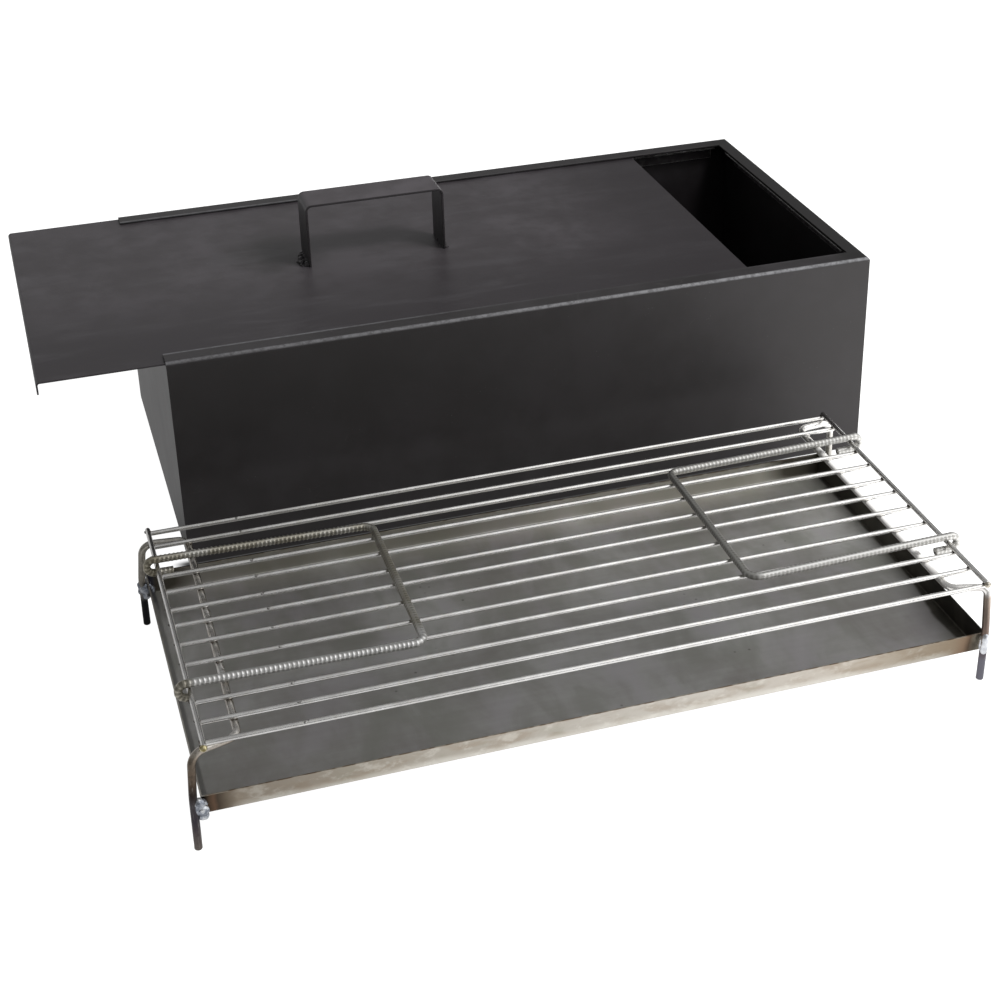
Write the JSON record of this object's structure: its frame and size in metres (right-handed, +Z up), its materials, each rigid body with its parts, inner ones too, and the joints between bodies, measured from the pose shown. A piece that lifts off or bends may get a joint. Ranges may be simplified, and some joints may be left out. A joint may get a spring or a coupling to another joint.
{
  "type": "stovetop smoker box",
  "caption": "Long folded sheet-steel smoker box with a sliding lid and strap handle, and its lift-out wire rack on legs with hinged loop handles over a shallow drip tray.",
  "frame": {"origin": "centre of the box's flat underside, on the surface everything stands on", "axes": "+Z up; +X along the box towards its closed end, so the lid draws off towards -X; the rack stands on the -Y side"},
  "size_m": [0.757, 0.7218, 0.26],
  "materials": {
    "powder_coat": "satin charcoal powder coat on folded steel sheet",
    "bright_wire": "bright drawn round steel",
    "leg_steel": "drawn steel with brown heat tint",
    "tray_steel": "bare rolled sheet, oiled dark inside",
    "weld_steel": "burnt weld bead",
    "ribbed_steel": "ribbed reinforcing bar, wire brushed"
  },
  "bodies": {
    "box": {"box_shell": "powder_coat", "closed_end_wall": "powder_coat", "open_end_wall": "powder_coat", "front_lid_rail": "powder_coat", "rear_lid_rail": "powder_coat", "end_lid_rail": "powder_coat"},
    "lid": {"lid_plate": "powder_coat", "lid_handle": "powder_coat", "lid_handle_welds": "powder_coat"},
    "rack": {"left_leg_frame": "leg_steel", "right_leg_frame": "leg_steel", "grill_wire_01": "bright_wire", "grill_wire_02": "bright_wire", "grill_wire_03": "bright_wire", "grill_wire_04": "bright_wire", "grill_wire_05": "bright_wire", "grill_wire_06": "bright_wire", "grill_wire_07": "bright_wire", "grill_wire_08": "bright_wire", "grill_wire_09": "bright_wire", "grill_wire_10": "bright_wire", "grill_wire_11": "bright_wire", "grill_wire_12": "bright_wire", "grill_wire_13": "bright_wire", "left_end_rod": "bright_wire", "right_end_rod": "bright_wire", "drip_tray": "tray_steel", "tray_corner_welds": "weld_steel"},
    "left_handle": {"left_handle": "ribbed_steel"},
    "right_handle": {"right_handle": "ribbed_steel"}
  },
  "joints": [
    {"name": "lid_slide", "type": "slide", "parent": "box", "child": "lid", "axis": [1, 0, 0], "range_m": [-0.5425, 0.105]},
    {"name": "rack_lift", "type": "slide", "parent": "box", "child": "rack", "axis": [0, 0, 1], "range_m": [0, 0.27]},
    {"name": "left_handle_hinge", "type": "hinge", "parent": "rack", "child": "left_handle", "pos_m": [-0.362, -0.3879, 0.08605], "axis": [0, -1, 0], "range_deg": [0, 205]},
    {"name": "right_handle_hinge", "type": "hinge", "parent": "rack", "child": "right_handle", "pos_m": [0.25, -0.3879, 0.08605], "axis": [0, 1, 0], "range_deg": [0, 205]}
  ]
}
